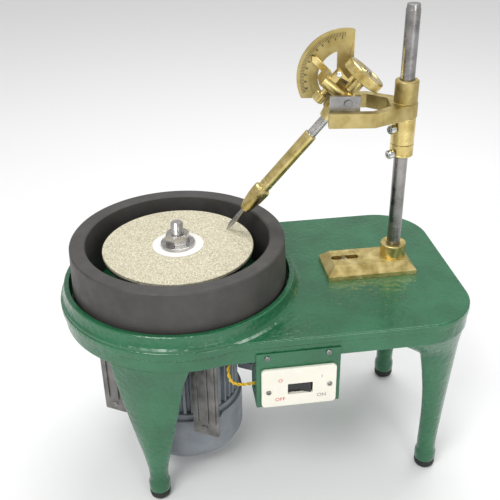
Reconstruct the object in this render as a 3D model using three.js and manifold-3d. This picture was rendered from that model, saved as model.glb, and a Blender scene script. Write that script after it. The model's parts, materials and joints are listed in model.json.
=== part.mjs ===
// Faceting machine: a cast table on four legs carries a motor-driven lap inside a splash
// ring, and a mast with a fork arm, a tilting head and an indexed quill that holds the dop.
// Units are millimetres, +Z is up. X runs along the table, Y across it, and the origin is
// on the floor under the middle of the table.
import * as THREE from 'three';
import * as BGU from 'three/addons/utils/BufferGeometryUtils.js';
import Module from 'manifold-3d';

const wasm = await Module();
wasm.setup();

// ---------------------------------------------------------------- driving dimensions
const SPX = -80.3;            // spindle axis, X
const MX = 142.3;             // mast axis, X
const GAP = 0.3;              // running clearance between moving pieces
const SEAT = 0.08;            // hairline between pieces that sit on each other
const FACET = 0.5;            // share of the listed segments that round faces really get

const DECK_Z = 211.9;         // deck top
const STEP_Z = 203.6;         // underside of the apron's upper band
const APRON_Z = 188.5;        // apron bottom
const BAND_R = 121;           // round end, upper band
const SKIRT_R = 118.4;        // round end, lower band
const HALF_W = 115.2;         // deck half width
const END_X = 201.3;          // straight end of the deck
const CORNER_R = 54;          // right corners
const WALL = 6;               // casting wall
const BOWL_R = 110.7;
const BOWL_FLOOR = 206.5;
const BOWL_UNDER = 198.5;
const RIM_R = 116;
const RIM_Z = 226.5;

const FOOT_X = [-119, 171.5]; // leg ends, X
const FOOT_Y = 79.2;          // leg ends, Y
const FOOT_R = 11.2;
const SHANK_R = 9.8;           // leg shank above the foot collar
const FOOT_H = 9;

const LAP_R = 75;             // 6 inch lap
const LAP_Z = 256.8;          // lap face
const LAP_T = 3;

const MOTOR_R = 60;           // fan cowl radius
const BASE_L = 92.6;          // mast base plate
const BASE_W = 47;
const MAST_R = 6.8;
const MAST_TOP = 481.1;
const SLEEVE_R = 11.3;

const ARM_AZ = 8;             // arm azimuth, degrees from -X towards +Y
const ARM_Z0 = 376.6;
const ARM_Z1 = 390.4;
const TINE_OUT = 32.2;        // fork half width over the tines
const TINE_T = 8;
const TINE_END = 74.8;
const PIV_S = 56.8;           // trunnion axis: distance out along the arm
const PIV_Z = 397.2;          // trunnion axis: height
const QUILL_DEG = 50.4;       // quill below the horizontal
const DOP_LEN = 181.7;        // trunnion axis to dop tip

// ---------------------------------------------------------------- mesh helpers
const rad = THREE.MathUtils.degToRad;

const COLOURS = {
  green: [0x1d6b3c, 0.35, 0.1], black: [0x2a2a2a, 0.8, 0], rubber: [0x151515, 0.9, 0],
  brass: [0xb8974a, 0.35, 0.9], steel: [0x8d8a88, 0.35, 0.9], chrome: [0xc8ccd0, 0.15, 1],
  lap: [0xcdc6ac, 0.7, 0.2], white: [0xeeeade, 0.5, 0], grey: [0x7c828a, 0.55, 0.2],
  yellow: [0xe0b21c, 0.5, 0], iron: [0x4c4a48, 0.6, 0.6],
};

function material(key) {
  const [color, roughness, metalness] = COLOURS[key];
  return new THREE.MeshStandardMaterial({ color, roughness, metalness });
}

function clean(geometry) {
  const g = geometry.index ? geometry.toNonIndexed() : geometry.clone();
  for (const name of Object.keys(g.attributes)) {
    if (name !== 'position') g.deleteAttribute(name);
  }
  return BGU.mergeVertices(g, 1e-4);
}

function solid(geometry) {
  const g = clean(geometry);
  return new wasm.Manifold(new wasm.Mesh({
    numProp: 3,
    vertProperties: new Float32Array(g.attributes.position.array),
    triVerts: new Uint32Array(g.index.array),
  }));
}

function geometryOf(body) {
  const m = body.getMesh();
  const g = new THREE.BufferGeometry();
  g.setAttribute('position', new THREE.BufferAttribute(new Float32Array(m.vertProperties), 3));
  g.setIndex(new THREE.BufferAttribute(new Uint32Array(m.triVerts), 1));
  return g;
}

const union = (...list) => wasm.Manifold.union(list);

function cut(body, ...tools) {
  return tools.reduce((left, tool) => left.subtract(tool), body);
}

const group = new THREE.Group();
group.name = 'faceting_machine';

function add(name, body, key) {
  const raw = body.isBufferGeometry ? body : geometryOf(body);
  const g = raw.toNonIndexed();
  g.computeVertexNormals();
  const mesh = new THREE.Mesh(g, material(key));
  mesh.name = name;
  group.add(mesh);
}

// ---------------------------------------------------------------- shape helpers
const facets = (n) => Math.max(10, Math.round(n * FACET));

function lathe(profile, segments, x = 0, y = 0, z = 0) {
  const points = profile.map(([r, h]) => new THREE.Vector2(r, h));
  const g = new THREE.LatheGeometry(points, facets(segments));
  g.rotateX(Math.PI / 2);
  g.translate(x, y, z);
  return solid(g);
}

function rod(r, z0, z1, segments = 32, x = 0, y = 0) {
  return lathe([[0, z0], [r, z0], [r, z1], [0, z1]], segments, x, y);
}

function tube(ri, ro, z0, z1, segments = 48, x = 0, y = 0) {
  return lathe([[ri, z0], [ro, z0], [ro, z1], [ri, z1], [ri, z0]], segments, x, y);
}

function box(x0, x1, y0, y1, z0, z1) {
  const g = new THREE.BoxGeometry(x1 - x0, y1 - y0, z1 - z0);
  g.translate((x0 + x1) / 2, (y0 + y1) / 2, (z0 + z1) / 2);
  return solid(g);
}

function prism(shape, z0, z1, segments = 12) {
  const curveSegments = Math.max(3, Math.round(segments * FACET));
  const g = new THREE.ExtrudeGeometry(shape, { depth: z1 - z0, bevelEnabled: false, curveSegments });
  g.translate(0, 0, z0);
  return solid(g);
}

function polygon(points) {
  return new THREE.Shape(points.map(([x, y]) => new THREE.Vector2(x, y)));
}

function roundedRect(x0, x1, y0, y1, r) {
  const s = new THREE.Shape();
  s.moveTo(x0 + r, y0);
  s.lineTo(x1 - r, y0);
  s.absarc(x1 - r, y0 + r, r, -Math.PI / 2, 0);
  s.lineTo(x1, y1 - r);
  s.absarc(x1 - r, y1 - r, r, 0, Math.PI / 2);
  s.lineTo(x0 + r, y1);
  s.absarc(x0 + r, y1 - r, r, Math.PI / 2, Math.PI);
  s.lineTo(x0, y0 + r);
  s.absarc(x0 + r, y0 + r, r, Math.PI, 1.5 * Math.PI);
  return s;
}

function move(body, matrix) {
  return body.transform(matrix.elements);
}

// ---------------------------------------------------------------- table
// Plan outline: a round end about the spindle running into straight sides.
// Its arcs have their corners at whole steps of 7.5 degrees, as the turned pieces inside do.
function arcPoints(cx, cy, r, a0, a1) {
  const step = rad(7.5);
  const angles = [a0];
  for (let k = Math.floor(a0 / step + 1.2); k * step < a1 - 0.2 * step; k += 1) angles.push(k * step);
  angles.push(a1);
  return angles.map((a) => [cx + r * Math.cos(a), cy + r * Math.sin(a)]);
}

function outline(endR, halfW, endX, corner) {
  const a = Math.asin(halfW / endR);
  const q = Math.PI / 2;
  return polygon([
    ...arcPoints(SPX, 0, endR, a, 4 * q - a),
    ...arcPoints(endX - corner, -halfW + corner, corner, -q, 0),
    ...arcPoints(endX - corner, halfW - corner, corner, 0, q),
  ]);
}

const BAND = [BAND_R, HALF_W, END_X, CORNER_R];
const SKIRT = [SKIRT_R, HALF_W - 1.2, END_X - 1.2, CORNER_R - 1.2];

function inset([r, w, x, c], d) {
  return outline(r - d, w - d, x - d, c - d);
}

function tableCasting() {
  const seg = 96;
  const skirt = prism(outline(...SKIRT), APRON_Z, STEP_Z + 1, 20);
  const band = prism(outline(...BAND), STEP_Z, DECK_Z - 1.5, 20);
  const edge = prism(inset(BAND, 0.8), DECK_Z - 1.5, DECK_Z, 20);
  const hollow = prism(inset(SKIRT, WALL), APRON_Z - 1, DECK_Z - 7, 20);
  const bowl = tube(24, BOWL_R + WALL, BOWL_UNDER, BOWL_FLOOR, seg, SPX);
  const foot = lathe([[BOWL_R, BOWL_UNDER], [117, BOWL_UNDER], [125.5, DECK_Z - 0.5],
    [121, DECK_Z + 1], [118.2, DECK_Z + 4], [116.8, DECK_Z + 8], [RIM_R, RIM_Z - 1],
    [RIM_R - 1, RIM_Z], [BOWL_R, RIM_Z], [BOWL_R, BOWL_UNDER]], seg, SPX);
  const rim = foot.intersect(prism(outline(...BAND), APRON_Z, RIM_Z + 1, 20));
  const hub = lathe([[16.4, BOWL_UNDER - 4], [28, BOWL_UNDER - 4], [28, BOWL_FLOOR],
    [22, BOWL_FLOOR + 12], [12, BOWL_FLOOR + 12], [12, BOWL_FLOOR + 8], [16.4, BOWL_FLOOR + 8],
    [16.4, BOWL_UNDER - 4]], 48, SPX);
  const shell = cut(union(skirt, band, edge), hollow, rod(BOWL_R, APRON_Z - 1, RIM_Z, seg, SPX));
  return cut(union(shell, rim, bowl, hub), rod(2.9, APRON_Z, DECK_Z + 1, 24, BOLT_X));
}

const BOLT_X = MX - 51;

// Legs: a curved plate under the apron that narrows into a round shank.
function apronPoint(u) {
  // u runs along the front edge of the skirt, from the round end to the straight end
  const [r, w, x, c] = SKIRT;
  const a = Math.asin(w / r);
  const x0 = SPX + Math.cos(a) * r;
  const straight = x - c - x0;
  if (u < 0) {
    const t = -a + u / r;
    return [SPX + Math.cos(t) * r, Math.sin(t) * r, Math.cos(t), Math.sin(t)];
  }
  if (u < straight) return [x0 + u, -w, 0, -1];
  const t = -Math.PI / 2 + Math.min((u - straight) / c, Math.PI / 2);
  const run = Math.max(u - straight - (c * Math.PI) / 2, 0);
  return [x - c + c * Math.cos(t), -w + c + c * Math.sin(t) + run, Math.cos(t), Math.sin(t)];
}

const LEG_NECK = 36;          // height where the plate has become the round shank
const LEG_LEVELS = [188.42, 184.3, 176.2, 166, 148, 120, 90, 62, LEG_NECK, 24, 20, 11.6, 9.12];

// spec: span of apron taken, foot centre, which edge leads, its ease and its early curve
function legRing({ span: [u0, u1], foot, forward, ease, early }, z) {
  const n = 10;
  const t = THREE.MathUtils.clamp((LEG_LEVELS[0] - z) / (LEG_LEVELS[0] - LEG_NECK), 0, 1);
  const slow = t ** ease;
  const quick = 0.5 * Math.min(1, 7 * t) + 0.5 * (1 - (1 - t) ** 2);
  const shankR = z < 22 ? FOOT_R : SHANK_R;
  const mid = apronPoint((u0 + u1) / 2);
  const facing = Math.atan2(mid[3], mid[2]);
  const points = [];
  for (let k = 0; k < 2 * n; k++) {
    const outer = k < n;
    const f = outer ? k / (n - 1) : 1 - (k - n) / (n - 1);
    const [px, py, nx, ny] = apronPoint(u0 + (u1 - u0) * f);
    const depth = outer ? 1.2 : 9 + 6 * t;
    const w = slow + (quick - slow) * (forward ? f : 1 - f) * early;
    const turn = facing + Math.PI * ((k + 0.5) / n - 0.5);
    const cx = foot[0] + shankR * Math.cos(turn);
    const cy = foot[1] + shankR * Math.sin(turn);
    points.push([(px - nx * depth) * (1 - w) + cx * w, (py - ny * depth) * (1 - w) + cy * w, z]);
  }
  return points;
}

function loft(rings) {
  const n = rings[0].length;
  const position = rings.flat(2);
  const index = [];
  for (let i = 0; i + 1 < rings.length; i++) {
    for (let k = 0; k < n; k++) {
      const a = i * n + k;
      const b = i * n + (k + 1) % n;
      index.push(a, a + n, b, b, a + n, b + n);
    }
  }
  const last = (rings.length - 1) * n;
  for (let k = 0; k < n / 2 - 1; k++) {
    const m = n - 1 - k;
    index.push(k, k + 1, m, k + 1, m - 1, m);
    index.push(last + k, last + m, last + k + 1, last + k + 1, last + m, last + m - 1);
  }
  const g = new THREE.BufferGeometry();
  g.setAttribute('position', new THREE.Float32BufferAttribute(position, 3));
  g.setIndex(index);
  return solid(g);
}

function leg(spec) {
  return loft(LEG_LEVELS.map((z) => legRing(spec, z)));
}

function mirrored(body) {
  return body.scale([1, -1, 1]);
}

function rubberFoot(x, y) {
  return lathe([[0, 0], [8.5, 0], [FOOT_R - 1, 2], [FOOT_R - 0.2, FOOT_H - 1], [FOOT_R - 0.8, FOOT_H],
    [0, FOOT_H]], 32, x, y);
}

// ---------------------------------------------------------------- splash ring and lap
function splashRing() {
  const z0 = BOWL_FLOOR + SEAT;
  return lathe([[104.2, z0], [108.4, z0], [106.9, 250], [106.2, 264.6], [104.8, 266.1],
    [92.4, 266.1], [90.9, 264.8], [91.2, 230], [91.2, z0], [95, z0], [95, 261], [102.6, 261],
    [104.2, z0]], 96, SPX);
}

function platen() {
  return lathe([[6.3, 232], [13, 232], [15, 246], [70, 246.5], [73.5, 249], [73.5, 253.5],
    [6.3, 253.5], [6.3, 232]], 72, SPX);
}

function lapDisc() {
  const z0 = LAP_Z - LAP_T;
  return lathe([[6.4, z0], [LAP_R, z0], [LAP_R, LAP_Z - 0.4], [LAP_R - 0.4, LAP_Z], [6.4, LAP_Z],
    [6.4, z0]], 96, SPX);
}

function hexNut(x, y, z0, z1, acrossFlats, bore) {
  const r = acrossFlats / Math.sqrt(3);
  const hex = [];
  for (let i = 0; i < 6; i++) {
    hex.push([x + r * Math.cos(rad(60 * i + 12)), y + r * Math.sin(rad(60 * i + 12))]);
  }
  const h = z1 - z0;
  const cone = lathe([[0, 0], [r - 0.6, 0], [r, 0.8], [r, h - 1.4], [r - 1.8, h], [0, h]], 36, x, y, z0);
  return cut(prism(polygon(hex), z0, z1).intersect(cone), rod(bore, z0 - 1, z1 + 1, 28, x, y));
}

function spindle() {
  return lathe([[0, 32], [5, 32], [5, 62], [7.4, 62.2], [7.4, 178], [6.2, 178.2], [6.0, 281],
    [4.6, 282.6], [0, 282.6]], 28, SPX);
}

// ---------------------------------------------------------------- motor
// Two upright planes face each other across the motor, and each holds two hanger plates.
// One rear plate sits nearer the middle, clear of the leg.
const HANGER_AZ = -120;
const HANGER_OFF = 60.4;      // motor axis to a plate's inner face
const HANGER_MID = 52;        // plate's middle, along its plane
const HANGER_NEAR = 34;       // the same, beside the rear leg
const HANGER_W = 28;
const HANGERS = [[HANGER_AZ, -HANGER_MID], [HANGER_AZ, HANGER_MID],
  [HANGER_AZ + 180, -HANGER_NEAR], [HANGER_AZ + 180, HANGER_MID]];

// Own axes: X along the plane, Y outward from the motor, Z up.
function onHanger(body, az) {
  const m = new THREE.Matrix4().makeRotationZ(rad(az - 90));
  m.setPosition(SPX + HANGER_OFF * Math.cos(rad(az)), HANGER_OFF * Math.sin(rad(az)), 0);
  return move(body, m);
}

function hanger([az, along]) {
  const half = HANGER_W / 2;
  const g = new THREE.ExtrudeGeometry(roundedRect(-half, half, 77, 198, 1.5),
    { depth: 3, bevelEnabled: false, curveSegments: 3 });
  g.rotateX(Math.PI / 2);
  g.translate(along, 3, 0);
  const rib = (x) => box(along + x - 1.4, along + x + 1.4, 2.9, 4.4, 92, 192);
  const flange = box(along - half, along + half, 0, 14, 195, 198);
  return onHanger(union(solid(g), flange, rib(-10), rib(-2), rib(9)), az);
}

function stator() {
  const s = new THREE.Shape();
  const fins = 22;
  for (let i = 0; i < fins; i++) {
    const a = (i / fins) * 2 * Math.PI;
    const step = (2 * Math.PI) / fins;
    [[51, 0], [55.5, 0.08], [55.5, 0.42], [51, 0.5]].forEach(([r, f], k) => {
      const x = SPX + r * Math.cos(a + f * step);
      const y = r * Math.sin(a + f * step);
      if (i === 0 && k === 0) s.moveTo(x, y);
      else s.lineTo(x, y);
    });
  }
  const ears = HANGERS.map(([az, along]) => onHanger(box(along - 10, along + 10, -44, -SEAT, 84, 93), az));
  return cut(union(prism(s, 84, 152), ...ears), rod(36, 80, 160, 48, SPX));
}

function upperBell() {
  return lathe([[9, 152.2], [54, 152.2], [56.5, 154], [56.5, 166], [50, 178], [24, 184],
    [24, 189.5], [13.2, 189.5], [13.2, 176], [9, 176], [9, 152.2]], 48, SPX);
}

function fanCowl() {
  return lathe([[24, 20.5], [46, 20.5], [55, 24], [MOTOR_R, 33.5], [MOTOR_R, 77], [56.5, 78],
    [56.5, 83.8], [9, 83.8], [9, 79.5], [53.5, 79.5], [56.8, 75], [56.8, 34.5], [52.8, 26.9],
    [45, 23.7], [24, 23.7], [24, 20.5]], 56, SPX);
}

function fan() {
  const hub = tube(5.25, 13, 46, 58, 24, SPX);
  const blades = [];
  for (let i = 0; i < 7; i++) {
    const m = new THREE.Matrix4().makeRotationZ((i / 7) * 2 * Math.PI);
    m.setPosition(SPX, 0, 0);
    blades.push(move(box(10, 44, -1.2, 1.2, 44, 60), m));
  }
  return cut(union(hub, ...blades), rod(5.25, 40, 64, 24, SPX));
}

function bearing(z0, z1, ri, ro) {
  return lathe([[ri, z0], [ro, z0], [ro, z1], [ri, z1], [ri, z0]], 32, SPX);
}

// ---------------------------------------------------------------- switch
const SW_X0 = -19.7;
const SW_X1 = 60.6;
const SW_Y = -(HALF_W - 1.2) - SEAT;

function switchBracket() {
  const y0 = SW_Y - 1.6;
  const face = box(SW_X0, SW_X1, y0, SW_Y, 136, 198.5);
  const sides = box(SW_X0, SW_X0 + 1.6, y0, -84, 136, 186);
  const side2 = box(SW_X1 - 1.6, SW_X1, y0, -84, 136, 186);
  const floor = box(SW_X0, SW_X1, y0, -84, 136, 137.6);
  const body = union(face, sides, side2, floor);
  const window = box(6.2, 38.2, y0 - 1, SW_Y + 1, 145, 171);
  const exit = box(SW_X0 - 1, SW_X0 + 3, -104, -96, 149, 157);
  return cut(body, window, exit);
}

function switchPlate() {
  const g = new THREE.ExtrudeGeometry(roundedRect(-15.3, 56.5, 137.4, 181.6, 4),
    { depth: 3.4, bevelEnabled: false, curveSegments: 6 });
  const m = new THREE.Matrix4().makeRotationX(Math.PI / 2);
  m.setPosition(0, SW_Y - 1.6 - SEAT, 0);
  const hole = box(9.7, 33.7, -130, -100, 151.3, 163.6);
  return cut(move(solid(g), m), hole);
}

function switchBody() {
  const shell = box(6.6, 37.8, SW_Y - 1.2, -92, 145.5, 170.5);
  return cut(shell, box(9.3, 34.1, -130, SW_Y + 9, 150.9, 164));
}

function rocker() {
  // seen from above: a shallow V with its left half pressed in
  const s = polygon([[-11.1, 1.6], [-10.9, -1.4], [0.4, -1.0], [9.3, -4.6], [10.7, -3.6],
    [10.5, 0.2], [3.4, 4.6], [-3.4, 4.6]]);
  return move(prism(s, 151.8, 163.1), new THREE.Matrix4().makeTranslation(21.7, SW_Y - 0.6, 0));
}

function screwHead(x, z, y, r, h) {
  const g = lathe([[0, 0], [r, 0], [r, h * 0.5], [r * 0.7, h], [0, h]], 20);
  const m = new THREE.Matrix4().makeRotationX(Math.PI / 2);
  m.setPosition(x, y, z);
  return move(g, m);
}

function motorLead() {
  const path = new THREE.CatmullRomCurve3([[-32, -62, 192], [-38, -84, 184], [-44, -98, 172],
    [-42, -103, 161], [-33, -102, 155], [-20, -100, 153.4], [-8, -100, 153], [5.4, -100, 152]]
    .map((p) => new THREE.Vector3(...p)));
  const ring = new THREE.Shape();
  ring.absarc(0, 0, 1.7, 0, 2 * Math.PI);
  return solid(new THREE.ExtrudeGeometry(ring, { steps: 22, curveSegments: 4, extrudePath: path }));
}

// ---------------------------------------------------------------- mast and carriage
const BASE_X0 = MX - 73;

function basePlate() {
  const z0 = DECK_Z + SEAT;
  const x1 = BASE_X0 + BASE_L;
  const w = BASE_W / 2;
  const inx = 8.2;
  const position = [];
  [[0, z0], [0, z0 + 4.5], [inx, z0 + 13.4]].forEach(([d, z]) => {
    position.push(BASE_X0 + d, -w + d, z, x1 - d, -w + d, z, x1 - d, w - d, z, BASE_X0 + d, w - d, z);
  });
  const index = [0, 2, 1, 0, 3, 2, 8, 9, 10, 8, 10, 11];
  for (let i = 0; i < 2; i++) {
    for (let k = 0; k < 4; k++) {
      const a = i * 4 + k;
      const b = i * 4 + (k + 1) % 4;
      index.push(a, b, a + 4, b, b + 4, a + 4);
    }
  }
  const g = new THREE.BufferGeometry();
  g.setAttribute('position', new THREE.Float32BufferAttribute(position, 3));
  g.setIndex(index);
  const collar = lathe([[0, z0 + 6], [13.1, z0 + 6], [13.1, 238.4], [12.3, 239.2], [8.6, 239.2],
    [0, 236.6]], 40, MX);
  const wide = prism(roundedRect(BOLT_X - 14.5, BOLT_X + 14.5, -3.9, 3.9, 3.85), 218.4, 230, 6);
  const narrow = prism(roundedRect(BOLT_X - 13.2, BOLT_X + 13.2, -2.6, 2.6, 2.55), 205, 220, 6);
  return cut(union(solid(g), collar), wide, narrow, rod(MAST_R + 0.05, 214, 245, 40, MX));
}

function baseBolt() {
  return lathe([[0, 192], [2.3, 192], [2.3, 218.6], [3.5, 218.6], [3.5, 222.6], [3.1, 223.2],
    [1.8, 223.2], [1.8, 221], [0, 221]], 24, BOLT_X);
}

function mast() {
  return lathe([[0, 214.2], [MAST_R, 214.2], [MAST_R, MAST_TOP - 5], [MAST_R - 0.5, MAST_TOP - 3.4],
    [MAST_R - 0.9, MAST_TOP], [0, MAST_TOP]], 40, MX);
}

const BORE = MAST_R + GAP;

function collarRing(z0, z1, screwZ) {
  const ring = lathe([[BORE, z0], [SLEEVE_R - 0.9, z0], [SLEEVE_R, z0 + 0.9], [SLEEVE_R, z1 - 0.7],
    [SLEEVE_R - 0.7, z1], [BORE, z1], [BORE, z0]], 40, MX);
  return cut(ring, radialTool(2.1, 5, 16, screwZ));
}

const SCREW_AZ = 207;

function radialMatrix(z) {
  const m = new THREE.Matrix4().makeRotationZ(rad(SCREW_AZ));
  m.multiply(new THREE.Matrix4().makeRotationY(Math.PI / 2));
  m.setPosition(MX, 0, z);
  return m;
}

function radialTool(r, from, to, z) {
  return move(rod(r, from, to, 20), radialMatrix(z));
}

function capScrew(z) {
  const s = lathe([[0, BORE + 0.6], [1.8, BORE + 0.6], [1.8, 12.8], [4.3, 12.8], [4.3, 17.4],
    [3.7, 18], [2.2, 18], [2.2, 15.8], [0, 15.8]], 24);
  return move(s, radialMatrix(z));
}

// ---------------------------------------------------------------- arm frame
// Arm frame: +X out along the arm, +Y away from the front, +Z up, origin on the mast axis.
const ARM = new THREE.Matrix4().makeRotationZ(rad(-ARM_AZ));
ARM.multiply(new THREE.Matrix4().makeScale(-1, 1, 1));
ARM.premultiply(new THREE.Matrix4().makeTranslation(MX, 0, 0));

function forkArm() {
  const hubR = 12;
  const outer = polygon([[-3, -hubR], [32.2, -TINE_OUT], [TINE_END, -TINE_OUT],
    [TINE_END, TINE_OUT], [32.2, TINE_OUT], [-3, hubR]]);
  const t = TINE_OUT - TINE_T;
  const slot = polygon([[15.5, -11.5], [33.5, -t], [TINE_END + 5, -t], [TINE_END + 5, t],
    [33.5, t], [15.5, 11.5]]);
  const body = cut(prism(outer, ARM_Z0, ARM_Z1), prism(slot, ARM_Z0 - 1, ARM_Z1 + 1));
  const sleeve = lathe([[0, ARM_Z0], [hubR, ARM_Z0], [hubR, ARM_Z1], [SLEEVE_R, ARM_Z1 + 0.4],
    [SLEEVE_R, 411], [9.8, 412.4], [0, 412.4]], 40);
  return move(cut(union(body, sleeve), rod(BORE, 370, 420, 40)), ARM);
}

const CHEEK_OUT = TINE_OUT - TINE_T - 0.1;
const CHEEK_IN = CHEEK_OUT - 4;
const CHEEK_S = [45.7, 74];
const CHEEK_TOP = 404.4;

function yoke() {
  const [s0, s1] = CHEEK_S;
  const cheek = (y0, y1) => box(s0, s1, y0, y1, ARM_Z0, CHEEK_TOP);
  const web = box(s0, s0 + 3.2, -CHEEK_OUT, CHEEK_OUT, ARM_Z0, 385.5);
  const body = union(cheek(-CHEEK_OUT, -CHEEK_IN), cheek(CHEEK_IN, CHEEK_OUT), web);
  return move(cut(body, across(3.3, -40, 40)), ARM);
}

// A cylinder along the trunnion axis, in the arm frame.
function across(r, y0, y1, segments = 28) {
  const m = new THREE.Matrix4().makeRotationX(-Math.PI / 2);
  m.setPosition(PIV_S, 0, PIV_Z);
  return move(rod(r, y0, y1, segments), m);
}

function trunnionPin(side) {
  const shank = across(3, Math.min(side * 9.5, side * 25), Math.max(side * 9.5, side * 25));
  const from = side < 0 ? CHEEK_OUT + SEAT : CHEEK_OUT + 3.4;
  const head = across(4, Math.min(side * from, side * (from + 2)), Math.max(side * from, side * (from + 2)));
  const neck = across(3, Math.min(side * 20, side * (from + 1)), Math.max(side * 20, side * (from + 1)));
  return move(union(shank, head, neck), ARM);
}

const QUAD_C = [55.4, 407.2];
const QUAD_R = 46.3;
const QUAD_IN = 26;           // window radius
const QUAD_T = 3.1;
const QUAD_Y = CHEEK_OUT + 0.1 + QUAD_T;

function quadrant() {
  const [cx, cz] = QUAD_C;
  const sill = rad(-26);                                // outer end of the level bottom edge
  const top = rad(98);
  const inner = Math.asin((ARM_Z1 + 0.6 - cz) / QUAD_IN);
  const band = new THREE.Shape();
  band.absarc(cx, cz, QUAD_R, sill, top, false);
  band.absarc(cx, cz, QUAD_IN, top, inner, true);
  band.lineTo(cx + QUAD_IN * Math.cos(inner), cz + QUAD_R * Math.sin(sill));
  const arc = prism(band, 0, QUAD_T, 36);
  const limb = prism(polygon([[47.6, 392], [63.4, 392], [63.4, 452.4], [47.6, 452.4]]), 0, QUAD_T);
  const recess = tubeSector(cx, cz, 20, 33.8);
  const m = new THREE.Matrix4().set(1, 0, 0, 0, 0, 0, -1, QUAD_Y, 0, 1, 0, 0, 0, 0, 0, 1);
  const body = cut(union(arc, limb), recess);
  return move(cut(move(body, m), across(3.3, 0, 60)), ARM);
}

// Front relief between the scale band and the window.
function tubeSector(cx, cz, r0, r1) {
  const s = new THREE.Shape();
  s.absarc(cx, cz, r1, rad(-30), rad(100), false);
  s.absarc(cx, cz, r0, rad(100), rad(-30), true);
  return prism(s, 2.1, 6, 36);
}

// ---------------------------------------------------------------- head and quill
// Head frame: origin on the trunnion axis, +Z up along the quill to the index drum,
// +X square to it towards the quadrant scale, +Y away from the front.
const HEAD = ARM.clone().multiply(new THREE.Matrix4().makeTranslation(PIV_S, 0, PIV_Z))
  .multiply(new THREE.Matrix4().makeRotationY(rad(QUILL_DEG - 90)));

const onHead = (body) => move(body, HEAD);

function headBody() {
  const alongX = new THREE.Matrix4().makeRotationY(Math.PI / 2).setPosition(0, -3.4, -0.8);
  const round = move(rod(6.2, -7.4, 28, 40), alongX);
  const block = union(box(-7.4, 28, -3.4, 19.4, -6.4, 4.8), round);
  const lugEye = new THREE.Matrix4().makeRotationX(Math.PI / 2).setPosition(21, 0, 13);
  const lug = union(box(17.6, 24.4, -8.6, -2.2, 4, 13), move(rod(3.4, 2.2, 8.6, 24), lugEye));
  const boss = move(rod(6, 8.5, 19.4, 28), new THREE.Matrix4().makeRotationX(Math.PI / 2));
  const pinBore = move(rod(3.3, -40, 40, 24), new THREE.Matrix4().makeRotationX(Math.PI / 2));
  const keep = box(-9, 9, -9.2, 9.2, -20, 20);
  const quillBore = rod(5.5, -20, 20, 32);
  const thumb = rod(2.8, -20, -1, 20, 19, -2);
  const pin = move(rod(1.8, -1, 12, 16), lugEye);
  const pawlSlot = box(16, 26, -6.6, -4.2, 9, 20);
  return onHead(cut(union(block, lug, boss), cut(pinBore, keep), quillBore, thumb, pin, pawlSlot));
}

function pointer() {
  const bar = polygon([[-3.2, 20], [3.2, 20], [3.2, 41], [0, 44.5], [-3.2, 41]]);
  const m = new THREE.Matrix4().makeRotationX(Math.PI / 2);
  m.premultiply(new THREE.Matrix4().makeRotationY(rad(84)));
  m.setPosition(0, 22.6, 0);
  return onHead(move(prism(bar, 0, 3.1), m));
}

function thumbScrew() {
  return onHead(lathe([[0, -20.5], [5.2, -20.5], [6, -19.6], [6, -12.4], [5.2, -11.5], [2.5, -11.5],
    [2.5, -2], [0, -2]], 24, 19, -2));
}

function indexPawl() {
  const shape = polygon([[6.8, 12.8], [8.2, 19.8], [9.8, 19.8], [10.6, 14.4], [18.5, 15.4],
    [22.6, 14.6], [23.2, 12], [21, 10.6]]);
  const m = new THREE.Matrix4().makeRotationX(Math.PI / 2);
  m.setPosition(0, -4.4, 0);
  const pin = move(rod(1.9, -1, 12, 16), new THREE.Matrix4().makeRotationX(Math.PI / 2).setPosition(21, 0, 13));
  return onHead(cut(move(prism(shape, 0, 2), m), pin));
}

function pawlPin() {
  const s = lathe([[0, 0.6], [1.6, 0.6], [1.6, 9.3], [2.8, 9.3], [2.8, 10.8], [2.3, 11.4], [0, 11.4]], 16);
  return onHead(move(s, new THREE.Matrix4().makeRotationX(Math.PI / 2).setPosition(21, 0, 13)));
}

function quillShaft() {
  return onHead(lathe([[0, -60], [4.8, -60], [4.8, 5.6], [4.8, 31.5], [0, 31.5]], 28));
}

function quillNeck() {
  return onHead(lathe([[5.05, -28.6], [6.9, -28.6], [9.6, -17], [9.6, -8.4], [8.8, -7.6], [5.05, -7.6],
    [5.05, -28.6]], 32));
}

function indexDrum() {
  return onHead(lathe([[5.05, 5.9], [6.6, 5.9], [6.6, 20.4], [19.2, 20.4], [20, 21.2], [20, 29.4],
    [19.2, 30.2], [14, 30.2], [13.4, 29.6], [8, 29.6], [7.4, 30.2], [5.05, 30.2], [5.05, 5.9]], 64));
}

function quillSleeve() {
  return onHead(lathe([[0, -60.1], [5.05, -60.1], [5.05, -49.4], [6, -49.4], [6.4, -50], [6.4, -113],
    [6.1, -113.4], [6.1, -114.2], [6.4, -114.6], [6.4, -118.4], [6.1, -118.8], [6.1, -121.9],
    [3.2, -121.9], [3.2, -134], [0, -134]].reverse(), 36));
}

function chuck() {
  return onHead(lathe([[3.5, -121.95], [7.4, -121.95], [8.8, -123.4], [9, -128], [8.4, -136],
    [6.9, -145.5], [4.9, -152.6], [2.9, -152.6], [2.9, -135.5], [3.5, -135.5], [3.5, -121.95]].reverse(), 36));
}

function dop() {
  return onHead(lathe([[0, -134.3], [2.5, -134.3], [2.5, -174.5], [0.5, -DOP_LEN], [0, -DOP_LEN]].reverse(), 24));
}

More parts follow.
